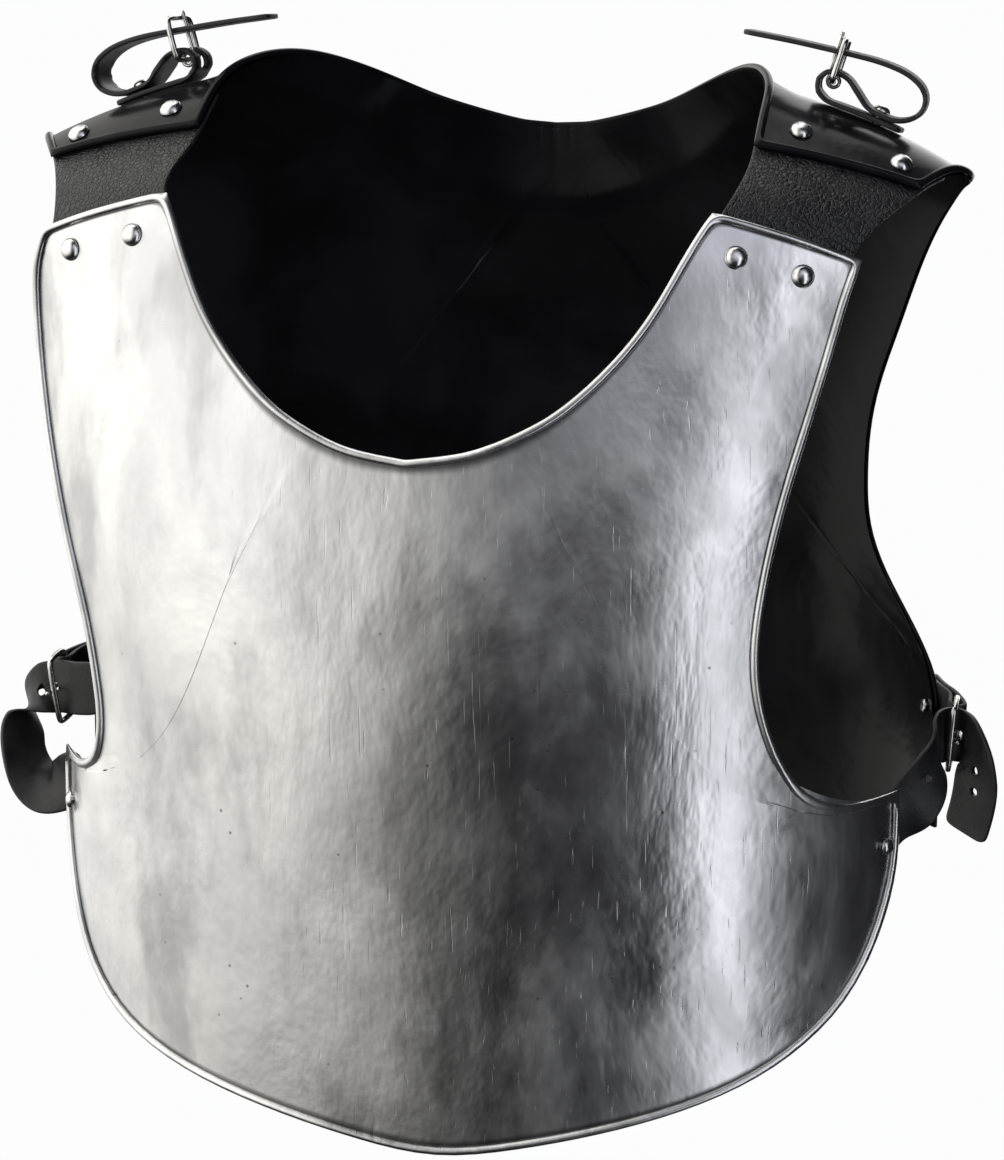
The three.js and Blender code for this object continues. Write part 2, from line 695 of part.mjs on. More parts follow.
function buckleProng(length) {
  const stops = [-20, -70, -120, -170, -220, -262].map((turn) => (
    vec(PRONG_LIFT * Math.cos(turn * RAD), 0, PRONG_LIFT * Math.sin(turn * RAD))));
  stops.push(vec(length / 2, 0, PRONG_LIFT + 0.1), vec(length + WIRE + 1, 0, PRONG_LIFT + 0.1));
  const section = new THREE.Shape();
  for (let side = 0; side < PRONG_SIDES; side += 1) {
    const roll = (2 * Math.PI * side) / PRONG_SIDES;
    section[side === 0 ? 'moveTo' : 'lineTo'](PRONG * Math.cos(roll), PRONG * Math.sin(roll));
  }
  section.closePath();
  const extrudePath = new THREE.CatmullRomCurve3(stops);
  return new THREE.ExtrudeGeometry(section, {
    steps: PRONG_STEPS, bevelEnabled: false, extrudePath,
  });
}

function buckle(name, { bar, way, up }, length, width) {
  const group = new THREE.Group();
  group.position.copy(bar);
  group.quaternion.setFromRotationMatrix(
    new THREE.Matrix4().makeBasis(way, up.clone().cross(way), up),
  );
  const frame = new THREE.Mesh(buckleFrame(length, width), buckleSteel);
  frame.name = `${name}_buckle`;
  const prong = new THREE.Mesh(buckleProng(length), buckleSteel);
  prong.name = `${name}_prong`;
  group.add(frame, prong);
  object.add(group);
}

const inSeat = ({ bar, way, up }, wayDistance, upDistance) => (
  bar.clone().addScaledVector(way, wayDistance).addScaledVector(up, upDistance));

const mirroredSeat = ({ bar, way, up }) => ({ bar: flip(bar), way: flip(way), up: flip(up) });
const mirroredStops = (stops) => stops.map((stop) => (
  { ...stop, point: flip(stop.point), across: flip(stop.across) }));

const STRAP_RIVET_RADIUS = 4.2;
const FLANK_AIR = 1.3;            // air between the flat strap and the curved plate outside it
const HEAD_AIR = 0.5;             // air between a rivet's head and the flat strap
const END_AIR = 0.9;              // air between a rivet's set end and the curved plate

// ---- shoulder straps, for the arm guards ----
// One strap: riveted to the tab, folded round the buckle's bar, riveted again on top of itself,
// then up in a loop and back through the buckle towards the neck. out is millimetres away
// from the neck along the tab and up is millimetres above the tab.
const SHOULDER_RIVET_OUT = 25;
const BASE_UP = GAP + STRAP_LEATHER / 2;
const UPPER_LAYER_UP = 4.4;
const SHOULDER_ROUTE = [
  { out: 37, up: BASE_UP },
  { out: 31, up: BASE_UP },
  { out: 25, up: BASE_UP, hole: HOLE_SIZE },
  { out: 16, up: BASE_UP },
  { out: 8, up: BASE_UP },
  { out: 1.6, up: 1.8 },
  { out: -3.2, up: 5.2, slotEnd: true },
  { out: -4, up: 10.6 },
  { out: -0.4, up: 14.8 },
  { out: 6.6, up: 14.2, slotEnd: true },
  { out: 13, up: 9.6 },
  { out: 18.5, up: 5.4 },
  { out: 21.8, up: 4.5 },
  { out: 25, up: UPPER_LAYER_UP, hole: HOLE_SIZE },
  { out: 31.5, up: 4.5 },
  { out: 37, up: 7 },
  { out: 40.6, up: 11.2 },
  { out: 41.2, up: 17 },
  { out: 37.6, up: 22.6 },
  { out: 30, up: 25.8 },
  { out: 18, up: 26.2 },
  { out: 7, up: 25, hole: STRAP_HOLE },
  { out: -1.3, up: 24, hole: STRAP_HOLE },
  { out: -10, up: 23.2, hole: STRAP_HOLE },
  { out: -19, up: 22.5, hole: STRAP_HOLE },
  { out: -36, up: 21.4 },
];
const SHOULDER_BUCKLE = { out: 1.6, up: 10.4, length: 20 };

const shoulderPlace = cellPlace(BACK_LINES, SHOULDER_STRAP_CELL, 1);
const shoulderRivet = backForm.spot(shoulderPlace.angle, shoulderPlace.run);
const degreeOfTab = backForm.point(shoulderPlace.angle + 1, shoulderPlace.run)
  .distanceTo(shoulderRivet.point);

// a spot over the tab on the wearer's left, and the way along the tab towards the neck
function overTab(out, up) {
  const angle = shoulderPlace.angle + (out - SHOULDER_RIVET_OUT) / degreeOfTab;
  return backForm.spot(angle, shoulderPlace.run, STEEL / 2 + up);
}

const alongShoulder = backForm.point(shoulderPlace.angle, shoulderPlace.run + 1)
  .sub(shoulderRivet.point).normalize();
const shoulderStops = SHOULDER_ROUTE.map(({ out, up, hole, slotEnd }) => (
  { point: overTab(out, up).point, across: alongShoulder, hole, slotEnd }));

const shoulderBar = overTab(SHOULDER_BUCKLE.out, SHOULDER_BUCKLE.up);
const shoulderWay = shoulderBar.normal.clone()
  .addScaledVector(alongShoulder, -shoulderBar.normal.dot(alongShoulder)).normalize();
const shoulderSeat = {
  bar: shoulderBar.point,
  way: shoulderWay,
  up: shoulderWay.clone().cross(alongShoulder).normalize(),
};
if (shoulderSeat.up.x > 0) shoulderSeat.up.negate();

const SHOULDER_SIDES = [
  { name: 'shoulder_left', stops: shoulderStops, seat: shoulderSeat, spot: shoulderRivet },
  {
    name: 'shoulder_right',
    stops: mirroredStops(shoulderStops),
    seat: mirroredSeat(shoulderSeat),
    spot: mirrored(shoulderRivet),
  },
];
SHOULDER_SIDES.forEach(({ name, stops, seat, spot }) => {
  place(`${name}_strap`, strap(stops, SHOULDER_STRAP_WIDTH), strapLeather);
  buckle(name, seat, SHOULDER_BUCKLE.length, SHOULDER_STRAP_WIDTH);
  const headLift = STEEL / 2 + UPPER_LAYER_UP + STRAP_LEATHER / 2 + HEAD_AIR;
  rivet(`${name}_rivet`, spot, headLift, STEEL / 2 + END_AIR, STRAP_RIVET_RADIUS);
});

// ---- flank straps ----
// A chape riveted to the outside of the backplate holds the buckle. reach is millimetres
// from its rivet towards the buckle and up is millimetres above the middle of the plate.
const CHAPE_AIM = vec(207, 4, -277);
const CHAPE_LAYER_UP = 5;
const CHAPE_ROUTE = [
  { reach: -10, up: 2.25 },
  { reach: 0, up: 2.25, hole: HOLE_SIZE },
  { reach: 6, up: 2.9 },
  { reach: 12, up: 4.3 },
  { reach: 17, up: 3.9, slotEnd: true },
  { reach: 21.5, up: 2.2 },
  { reach: 25.5, up: 0.5 },
  { reach: 29.2, up: 1.6 },
  { reach: 30.2, up: 4 },
  { reach: 28.8, up: 6.4 },
  { reach: 25, up: 7.4 },
  { reach: 17, up: 7.6, slotEnd: true },
  { reach: 12, up: 7.2 },
  { reach: 6, up: 5.7 },
  { reach: 0, up: CHAPE_LAYER_UP, hole: HOLE_SIZE },
  { reach: -10, up: CHAPE_LAYER_UP },
];
const FLANK_BUCKLE = { reach: 25.4, up: 3.9, length: 18, sink: 0.45 };

const chapeRivet = cellSpot(backForm, BACK_LINES, BACK_FLANK_CELL, 1);
const chapeWay = CHAPE_AIM.clone().sub(chapeRivet.point);
chapeWay.addScaledVector(chapeRivet.normal, -chapeWay.dot(chapeRivet.normal)).normalize();
const chapeAcross = chapeRivet.normal.clone().cross(chapeWay);
const overChape = (reach, up) => chapeRivet.point.clone()
  .addScaledVector(chapeWay, reach).addScaledVector(chapeRivet.normal, up);
const chapeStops = CHAPE_ROUTE.map(({ reach, up, hole, slotEnd }) => (
  { point: overChape(reach, up), across: chapeAcross, hole, slotEnd }));
const flankWay = chapeWay.clone().addScaledVector(chapeRivet.normal, -FLANK_BUCKLE.sink).normalize();
const flankSeat = {
  bar: overChape(FLANK_BUCKLE.reach, FLANK_BUCKLE.up),
  way: flankWay,
  up: flankWay.clone().cross(chapeAcross).negate(),
};
if (flankSeat.up.x < 0) flankSeat.up.negate();

// Each strap starts inside the breastplate, where its rivet holds it, and passes out under the
// plate's edge. x is millimetres outward from the middle of the body.
// turn is degrees and rise is millimetres from the rivet.
const UNDER_BREAST = STEEL / 2 + FLANK_AIR + STRAP_LEATHER / 2;
const FLANK_START = [
  { turn: -7, rise: -9 },
  { turn: 0, rise: 0, hole: HOLE_SIZE },
  { turn: 6, rise: 7 },
];
const FLANK_LEFT_ROUTE = [
  { x: 197.5, y: -19, z: -304, across: [0, 0, 1] },
  { x: 203, y: -15.5, z: -293, across: [0, 0, 1], hole: STRAP_HOLE },
  { x: 205.5, y: -10, z: -283.5, across: [0, 0, 1] },
  { x: 205, y: -4, z: -278, across: [0, 0, 1] },
  { x: 206.8, y: 2.2, z: -276.5, across: [0, 0, 1] },
  { prong: true, across: [0, 0, 1], hole: STRAP_HOLE },
  { x: 217, y: 4.5, z: -278.5, across: [0.1, -0.1, 1] },
  { x: 220.5, y: 0, z: -283, across: [0.5, -0.5, 0.7] },
  { x: 222.5, y: -2, z: -291, across: [0.75, -0.55, 0.35], hole: STRAP_HOLE },
  { x: 222, y: -1, z: -301, across: [0.85, -0.5, 0.1], hole: STRAP_HOLE },
  { x: 220, y: 0, z: -311, across: [0.85, -0.5, 0] },
  { x: 217, y: 1, z: -321, across: [0.85, -0.5, 0] },
];
const FLANK_RIGHT_ROUTE = [
  { x: 201, y: -17, z: -317, across: [0, 0.1, 1] },
  { x: 211, y: -13.5, z: -321, across: [-0.2, 0.5, 0.8] },
  { x: 220.5, y: -7, z: -315, across: [-0.3, 0.8, 0.45] },
  { x: 226.5, y: -1, z: -302, across: [-0.45, 0.87, 0.15] },
  { x: 226, y: 5, z: -290, across: [-0.3, 0.7, 0.6] },
  { x: 219.5, y: 7, z: -280, across: [0, 0.3, 0.95], hole: STRAP_HOLE },
  { prong: true, across: [0, 0, 1], hole: STRAP_HOLE },
  { x: 201, y: 2, z: -276.5, across: [0, 0, 1] },
  { x: 190, y: 0, z: -275.5, across: [0, 0, 1] },
];
const PRONG_CROSSING = 9;         // millimetres from the first bar to where the strap passes

// the stops of a flank strap, as they lie on the wearer's left
function flankStops(routeRows, side) {
  const { angle, run } = cellPlace(FRONT_LINES, FLANK_CELL, side);
  const spots = FLANK_START.map(({ turn, rise }) => {
    const spot = frontForm.spot(angle + side * turn, run + rise, -UNDER_BREAST);
    return side > 0 ? spot : mirrored(spot);
  });
  const along = spots[spots.length - 1].point.clone().sub(spots[0].point).normalize();
  const start = FLANK_START.map(({ hole }, k) => (
    { point: spots[k].point, across: spots[k].normal.clone().cross(along).normalize(), hole }));
  const free = routeRows.map(({ x, y, z, across, hole, prong }) => ({
    point: prong ? inSeat(flankSeat, PRONG_CROSSING, PRONG_LIFT + 0.1) : vec(x, y, z),
    across: vec(...across).normalize(),
    hole,
  }));
  return [...start, ...free];
}

const FLANK_SIDES = [
  { name: 'flank_left', side: 1, stops: flankStops(FLANK_LEFT_ROUTE, 1) },
  { name: 'flank_right', side: -1, stops: mirroredStops(flankStops(FLANK_RIGHT_ROUTE, -1)) },
];
FLANK_SIDES.forEach(({ name, side, stops }) => {
  const mirror = side < 0;
  place(`${name}_strap`, strap(stops, FLANK_STRAP_WIDTH), strapLeather);
  const chape = mirror ? mirroredStops(chapeStops) : chapeStops;
  place(`${name}_chape`, strap(chape, FLANK_STRAP_WIDTH), strapLeather);
  const seat = mirror ? mirroredSeat(flankSeat) : flankSeat;
  buckle(name, seat, FLANK_BUCKLE.length, FLANK_STRAP_WIDTH);
  const strapSpot = cellSpot(frontForm, FRONT_LINES, FLANK_CELL, side);
  const endDepth = UNDER_BREAST + STRAP_LEATHER / 2 + 2 * GAP;
  rivet(`${name}_strap_rivet`, strapSpot, STEEL / 2 + END_AIR, endDepth, STRAP_RIVET_RADIUS);
  const chapeSpot = mirror ? mirrored(chapeRivet) : chapeRivet;
  const headLift = CHAPE_LAYER_UP + STRAP_LEATHER / 2 + HEAD_AIR;
  rivet(`${name}_chape_rivet`, chapeSpot, headLift, STEEL / 2 + END_AIR, STRAP_RIVET_RADIUS);
});

export default object;
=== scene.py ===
"""Looks for the steel cuirass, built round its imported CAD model."""
import math

import bmesh
import bpy
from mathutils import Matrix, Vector, noise


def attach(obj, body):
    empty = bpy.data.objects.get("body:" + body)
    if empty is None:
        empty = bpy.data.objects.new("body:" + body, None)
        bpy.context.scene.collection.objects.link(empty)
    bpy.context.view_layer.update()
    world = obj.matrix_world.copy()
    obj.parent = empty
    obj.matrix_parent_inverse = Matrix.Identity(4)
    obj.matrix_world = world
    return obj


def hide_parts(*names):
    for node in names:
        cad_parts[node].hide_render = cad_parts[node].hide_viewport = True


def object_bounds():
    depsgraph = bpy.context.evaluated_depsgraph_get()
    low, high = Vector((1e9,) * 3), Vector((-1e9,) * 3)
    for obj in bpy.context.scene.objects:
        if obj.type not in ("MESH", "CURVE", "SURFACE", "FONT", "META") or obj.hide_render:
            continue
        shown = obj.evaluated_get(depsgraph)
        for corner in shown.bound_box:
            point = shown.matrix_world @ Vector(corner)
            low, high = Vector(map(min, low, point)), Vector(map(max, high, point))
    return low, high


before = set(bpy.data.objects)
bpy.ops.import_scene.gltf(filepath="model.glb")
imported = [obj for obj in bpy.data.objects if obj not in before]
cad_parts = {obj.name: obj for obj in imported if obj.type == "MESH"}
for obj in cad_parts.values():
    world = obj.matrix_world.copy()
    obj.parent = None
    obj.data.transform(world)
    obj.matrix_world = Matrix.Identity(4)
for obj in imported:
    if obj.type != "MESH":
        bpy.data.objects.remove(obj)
cad_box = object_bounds()

MM = 0.001
MERGE = 1e-5                       # metres between corners that are one corner


# ---- camera ----
PHOTO_HEIGHT = 1160                # of the frame that the camera is made for
PHOTO_SCALE = 2200                 # its pixels per metre at the object
CAMERA_DISTANCE = 3.5
CAMERA_AZIMUTH = math.radians(14)
CAMERA_ELEVATION = math.radians(11.5)
AIM_HEIGHT = -0.215
AIM_ASIDE = 0.0023
FAR_CLIP = 100


def make_camera():
    back = Vector((
        math.sin(CAMERA_AZIMUTH) * math.cos(CAMERA_ELEVATION),
        -math.cos(CAMERA_AZIMUTH) * math.cos(CAMERA_ELEVATION),
        math.sin(CAMERA_ELEVATION),
    ))
    right = Vector((math.cos(CAMERA_AZIMUTH), math.sin(CAMERA_AZIMUTH), 0))
    data = bpy.data.cameras.new("camera")
    data.lens = data.sensor_width * CAMERA_DISTANCE * PHOTO_SCALE / PHOTO_HEIGHT
    data.clip_end = FAR_CLIP
    camera = bpy.data.objects.new("camera", data)
    camera.location = Vector((0, 0, AIM_HEIGHT)) + right * AIM_ASIDE + back * CAMERA_DISTANCE
    camera.rotation_mode = "QUATERNION"
    camera.rotation_quaternion = (-back).to_track_quat("-Z", "Y")
    bpy.context.scene.collection.objects.link(camera)
    bpy.context.scene.camera = camera


make_camera()


# ---- node trees ----
class Graph:
    """A short way to write a node tree. node() gives back the new node, the others its output."""

    def __init__(self, tree):
        self.tree = tree
        tree.nodes.clear()

    def node(self, kind, inputs=None, **settings):
        made = self.tree.nodes.new(kind)
        for key, value in settings.items():
            setattr(made, key, value)
        for key, value in (inputs or {}).items():
            if isinstance(value, bpy.types.NodeSocket):
                self.tree.links.new(value, made.inputs[key])
            else:
                made.inputs[key].default_value = value
        return made

    def math(self, operation, *values):
        made = self.node("ShaderNodeMath", dict(enumerate(values)), operation=operation)
        return made.outputs[0]

    def remap(self, value, low, high, to_low=0.0, to_high=1.0):
        made = self.node("ShaderNodeMapRange", {
            "Value": value, "From Min": low, "From Max": high, "To Min": to_low, "To Max": to_high,
        }, interpolation_type="SMOOTHSTEP")
        return made.outputs["Result"]

    def blend(self, share, a, b, kind="MIX"):
        made = self.node("ShaderNodeMix", data_type="RGBA", blend_type=kind)
        for socket, value in ((0, share), (6, a), (7, b)):
            if isinstance(value, bpy.types.NodeSocket):
                self.tree.links.new(value, made.inputs[socket])
            elif socket == 0:
                made.inputs[socket].default_value = value
            else:
                made.inputs[socket].default_value = (*value, 1)
        return made.outputs[2]

    def place(self, scale=(1, 1, 1), turn=(0, 0, 0)):
        spot = self.node("ShaderNodeTexCoord").outputs["Object"]
        made = self.node("ShaderNodeMapping", {
            "Vector": spot, "Scale": scale, "Rotation": [math.radians(t) for t in turn]})
        return made.outputs[0]

    def noise(self, place, scale, detail=3.0, rough=0.5, distortion=0.0):
        made = self.node("ShaderNodeTexNoise", {
            "Vector": place, "Scale": scale, "Detail": detail, "Roughness": rough,
            "Distortion": distortion})
        return made.outputs["Fac"]

    def cells(self, place, scale, feature="F1"):
        made = self.node("ShaderNodeTexVoronoi", {"Vector": place, "Scale": scale}, feature=feature)
        return made.outputs["Distance"]

    def bump(self, height, distance, strength=1.0, under=None):
        inputs = {"Height": height, "Distance": distance, "Strength": strength}
        if under is not None:
            inputs["Normal"] = under
        return self.node("ShaderNodeBump", inputs).outputs[0]

    def attribute(self, name):
        return self.node("ShaderNodeAttribute", attribute_name=name).outputs["Fac"]


def material(name, metallic, paint, **fixed):
    """paint(graph) gives the linked sockets of the shader; fixed holds its constant ones."""
    made = bpy.data.materials.new(name)
    made.use_nodes = True
    graph = Graph(made.node_tree)
    shader = graph.node("ShaderNodeBsdfPrincipled", {
        "Metallic": metallic, **{k.replace("_", " "): v for k, v in fixed.items()}})
    for key, socket in paint(graph).items():
        graph.tree.links.new(socket, shader.inputs[key])
    graph.node("ShaderNodeOutputMaterial", {"Surface": shader.outputs[0]})
    return made


# ---- studio ----
# Lamps round the object, by azimuth (0 before it, positive to the wearer's left) and elevation,
# in degrees: the middle, half the width and the soft border each way, and the light given.
LAMPS = [
    {"azimuth": -88, "wide": 64, "soft": 22, "height": 26, "tall": 48, "fade": 22,
     "light": (1.7, 1.68, 1.6)},
    {"azimuth": 47, "wide": 8, "soft": 6, "height": -12, "tall": 34, "fade": 12,
     "light": (1.75, 1.8, 1.92)},
    {"azimuth": 30, "wide": 22, "soft": 16, "height": 32, "tall": 18, "fade": 14,
     "light": (0.62, 0.65, 0.74)},
    {"azimuth": 0, "wide": 44, "soft": 24, "height": 20, "tall": 22, "fade": 18,
     "light": (0.2, 0.2, 0.21)},
    {"azimuth": 180, "wide": 14, "soft": 6, "height": 20, "tall": 45, "fade": 15,
     "light": (1.8, 1.8, 1.8)},
    {"azimuth": -150, "wide": 60, "soft": 20, "height": 78, "tall": 14, "fade": 6,
     "light": (2.2, 2.2, 2.2)},
]
DARK = (0.016, 0.016, 0.018)       # between the lamps
BLACK = (0, 0, 0)
SKY_MAP = 1024                     # how finely the lamps are sampled, in pixels


def make_world():
    world = bpy.data.worlds.new("studio")
    world.use_nodes = True
    bpy.context.scene.world = world
    graph = Graph(world.node_tree)
    way = graph.node("ShaderNodeTexCoord").outputs["Generated"]
    split = graph.node("ShaderNodeSeparateXYZ", {0: way})
    x, y, z = split.outputs
    azimuth = graph.math("DEGREES", graph.math("ARCTAN2", x, graph.math("MULTIPLY", y, -1.0)))
    height = graph.math("DEGREES", graph.math("ARCSINE", z))
    total = None
    for lamp in LAMPS:
        aside = graph.math("SUBTRACT", azimuth, lamp["azimuth"])
        aside = graph.math("WRAP", aside, 180.0, -180.0)
        aside = graph.math("ABSOLUTE", aside)
        above = graph.math("ABSOLUTE", graph.math("SUBTRACT", height, lamp["height"]))
        across = graph.remap(aside, lamp["wide"] - lamp["soft"], lamp["wide"] + lamp["soft"], 1, 0)
        up = graph.remap(above, lamp["tall"] - lamp["fade"], lamp["tall"] + lamp["fade"], 1, 0)
        share = graph.math("MULTIPLY", across, up)
        glow = graph.blend(share, BLACK, lamp["light"])
        total = glow if total is None else graph.blend(1.0, total, glow, "ADD")
    total = graph.blend(1.0, total, DARK, "ADD")
    sky = graph.node("ShaderNodeBackground", {"Color": total})
    graph.node("ShaderNodeOutputWorld", {"Surface": sky.outputs[0]})
    world.cycles.sampling_method = "MANUAL"
    world.cycles.sample_map_resolution = SKY_MAP


make_world()

FLOOR_DROP = 0.25                  # from the lowest point of the object to the floor
FLOOR_RADIUS = 9.0
COVE_RADIUS = 3.0                  # of the curve from the floor up into the wall
WALL_TOP = 9.0
COVE_STEPS = 8
ROUND_STEPS = 64
FLOOR_GLOW = (0.98, 0.98, 0.985, 1)


def make_stage():
    """A pale floor that curves up into a round wall. Only the camera sees it, so no lamp is hidden by it."""
    level = cad_box[0].z - FLOOR_DROP
    profile = [(0.0, level), (FLOOR_RADIUS - COVE_RADIUS, level)]
    for step in range(1, COVE_STEPS + 1):
        turn = math.pi / 2 * step / COVE_STEPS
        profile.append((FLOOR_RADIUS - COVE_RADIUS + COVE_RADIUS * math.sin(turn),
                        level + COVE_RADIUS * (1 - math.cos(turn))))
    profile.append((FLOOR_RADIUS, WALL_TOP))
    bm = bmesh.new()
    line = [bm.verts.new((r, 0, z)) for r, z in profile]
    edges = [bm.edges.new(pair) for pair in zip(line, line[1:])]
    bmesh.ops.spin(bm, geom=line + edges, cent=(0, 0, 0), axis=(0, 0, 1), angle=2 * math.pi,
                   steps=ROUND_STEPS, use_merge=True)
    bmesh.ops.remove_doubles(bm, verts=bm.verts, dist=MERGE)
    mesh = bpy.data.meshes.new("studio_floor")
    bm.to_mesh(mesh)
    bm.free()
    for face in mesh.polygons:
        face.use_smooth = True
    made = bpy.data.materials.new("studio_floor")
    made.use_nodes = True
    graph = Graph(made.node_tree)
    glow = graph.node("ShaderNodeEmission", {"Color": FLOOR_GLOW, "Strength": 1.0})
    graph.node("ShaderNodeOutputMaterial", {"Surface": glow.outputs[0]})
    mesh.materials.append(made)
    floor = bpy.data.objects.new("studio_floor", mesh)
    floor.visible_diffuse = False
    floor.visible_glossy = False
    floor.visible_transmission = False
    floor.visible_volume_scatter = False
    floor.visible_shadow = False
    bpy.context.scene.collection.objects.link(floor)


make_stage()


# ---- materials ----
# Colours are linear red, green and blue. A noise or cell scale is about its number of features a metre.
STEEL_PALE = (0.80, 0.80, 0.79)
STEEL_CLOUDED = (0.56, 0.56, 0.565)
STEEL_BLOTCH = (0.24, 0.24, 0.245)
PIT_BLACK = (0.1, 0.095, 0.09)
FOOT_SHADE = (0.05, 0.05, 0.052)   # painted shade in the fold at the foot of the rolled edge
# Black of the back plate: real black paint on its inside, and on its polished outside a painted dark
# reflection
BLACK_PALE = (0.014, 0.014, 0.016)
BLACK_DEEP = (0.006, 0.006, 0.007)
RIVET_PALE = (0.76, 0.76, 0.75)
RIVET_WORN = (0.58, 0.58, 0.58)
BUCKLE_PALE = (0.66, 0.655, 0.645)
BUCKLE_WORN = (0.46, 0.44, 0.41)
GRAIN_RUBBED = (0.02, 0.02, 0.023)
GRAIN_TOP = (0.013, 0.013, 0.015)
GRAIN_CRACK = (0.004, 0.004, 0.005)
STRAP_FRAYED = (0.05, 0.048, 0.046)
STRAP_PALE = (0.026, 0.026, 0.028)
STRAP_DARK = (0.009, 0.009, 0.01)


def polished(graph):
    place = graph.place()
    cloud = graph.noise(graph.place((1, 1, 0.6)), 13, detail=5, rough=0.62, distortion=0.25)
    leaning = graph.place((1, 1, 0.38), turn=(0, 9, 0))
    blotch = graph.noise(leaning, 24, detail=4, rough=0.6, distortion=0.15)
    blotch = graph.remap(blotch, 0.5, 0.68)
    haze = graph.noise(graph.place((1, 1, 0.55)), 34, detail=4, rough=0.6, distortion=0.3)
    brushed = graph.noise(graph.place((0.25, 0.25, 1)), 1500, detail=2, rough=0.6)
    drawn_out = graph.place((1, 1, 0.04), turn=(0, 38, 0))
    scratch = graph.noise(drawn_out, 620, detail=2)
    scratch = graph.remap(scratch, 0.66, 0.74)
    pit = graph.cells(place, 95)
    pitted = graph.remap(graph.noise(place, 26, detail=2), 0.5, 0.66)
    pit = graph.math("MULTIPLY", graph.remap(pit, 0.1, 0.04), pitted)
    # painted shade: the steel darkens along the fold at the foot of the rolled edge
    foot_shade = graph.remap(graph.attribute("foot_shade"), 0.86, 0.99)
    tone = graph.blend(graph.remap(cloud, 0.36, 0.66), STEEL_CLOUDED, STEEL_PALE)
    tone = graph.blend(graph.math("MULTIPLY", blotch, 0.45), tone, STEEL_BLOTCH)
    tone = graph.blend(graph.math("MULTIPLY", pit, 0.7), tone, PIT_BLACK)
    tone = graph.blend(graph.math("MULTIPLY", foot_shade, 0.85), tone, FOOT_SHADE)
    rough = graph.remap(haze, 0.3, 0.72, 0.2, 0.33)
    rough = graph.math("ADD", rough, graph.math("MULTIPLY", graph.remap(cloud, 0.4, 0.6), 0.08))
    normal = graph.bump(cloud, 6 * MM, 0.22)
    normal = graph.bump(haze, 0.8 * MM, 0.3, normal)
    normal = graph.bump(brushed, 0.02 * MM, 0.5, normal)
    marks = graph.math("MULTIPLY", graph.math("ADD", scratch, pit), -1.0)
    normal = graph.bump(marks, 0.05 * MM, 0.6, normal)
    return {"Base Color": tone, "Roughness": rough, "Normal": normal}


# The back plate's black: black paint inside, painted dark reflection outside where the steel is really
# polished.
def black_paint_and_dark_reflection(graph):
    place = graph.place()
    cloud = graph.noise(place, 14, detail=4, rough=0.55, distortion=0.4)
    fine = graph.noise(place, 420, rough=0.6)
    tone = graph.blend(graph.remap(cloud, 0.35, 0.65), BLACK_DEEP, BLACK_PALE)
    rough = graph.remap(cloud, 0.3, 0.7, 0.14, 0.26)
    normal = graph.bump(cloud, 5 * MM, 0.2)
    return {"Base Color": tone, "Roughness": rough, "Normal": graph.bump(fine, 0.05 * MM, 0.4, normal)}


def domed(graph):
    place = graph.place()
    wear = graph.noise(place, 300, rough=0.6)
    tone = graph.blend(graph.remap(wear, 0.35, 0.65), RIVET_WORN, RIVET_PALE)
    return {"Base Color": tone, "Roughness": graph.remap(wear, 0.3, 0.7, 0.16, 0.3),
            "Normal": graph.bump(wear, 0.2 * MM, 0.3)}


def plated(graph):
    place = graph.place()
    wear = graph.noise(place, 260, rough=0.6)
    tone = graph.blend(graph.remap(wear, 0.4, 0.68), BUCKLE_PALE, BUCKLE_WORN)
    return {"Base Color": tone, "Roughness": graph.remap(wear, 0.3, 0.7, 0.14, 0.28),
            "Normal": graph.bump(graph.noise(place, 700, detail=2), 0.08 * MM, 0.35)}


def pebbled(graph):
    place = graph.place()
    pebble = graph.cells(place, 620, "SMOOTH_F1")
    crack = graph.cells(graph.place((1, 1.2, 0.8)), 420, "DISTANCE_TO_EDGE")
    crease = graph.remap(crack, 0.0, 0.16)
    broad = graph.noise(place, 90)
    height = graph.math("SUBTRACT", crease, graph.math("MULTIPLY", pebble, 0.8))
    tone = graph.blend(crease, GRAIN_CRACK, GRAIN_TOP)
    tone = graph.blend(graph.remap(broad, 0.4, 0.7), tone, GRAIN_RUBBED)
    rough = graph.remap(broad, 0.3, 0.7, 0.36, 0.5)
    normal = graph.bump(broad, 1.2 * MM, 0.4)
    return {"Base Color": tone, "Roughness": rough, "Normal": graph.bump(height, 0.45 * MM, 0.9, normal)}


def smooth_leather(graph):
    place = graph.place()
    pore = graph.cells(place, 1300, "SMOOTH_F1")
    broad = graph.noise(place, 70, detail=4, rough=0.6)
    fibre = graph.noise(place, 900, rough=0.65)
    tone = graph.blend(graph.remap(broad, 0.38, 0.7), STRAP_DARK, STRAP_PALE)
    worn = graph.math("MULTIPLY", graph.remap(fibre, 0.5, 0.75), 0.35)
    tone = graph.blend(worn, tone, STRAP_FRAYED)
    rough = graph.remap(broad, 0.3, 0.7, 0.42, 0.6)
    normal = graph.bump(broad, 0.8 * MM, 0.4)
    normal = graph.bump(pore, 0.12 * MM, 0.6, normal)
    return {"Base Color": tone, "Roughness": rough, "Normal": graph.bump(fibre, 0.08 * MM, 0.5, normal)}


POLISHED = material("polished_steel", 1.0, polished)
BLACK_PAINT_AND_DARK_REFLECTION = material("black_paint_and_dark_reflection_steel", 0.0, black_paint_and_dark_reflection, Specular_IOR_Level=0.1)
DOMED = material("rivet_steel", 1.0, domed)
PLATED = material("buckle_steel", 1.0, plated)
PEBBLED = material("grain_leather", 0.0, pebbled)
SMOOTH = material("strap_leather", 0.0, smooth_leather)


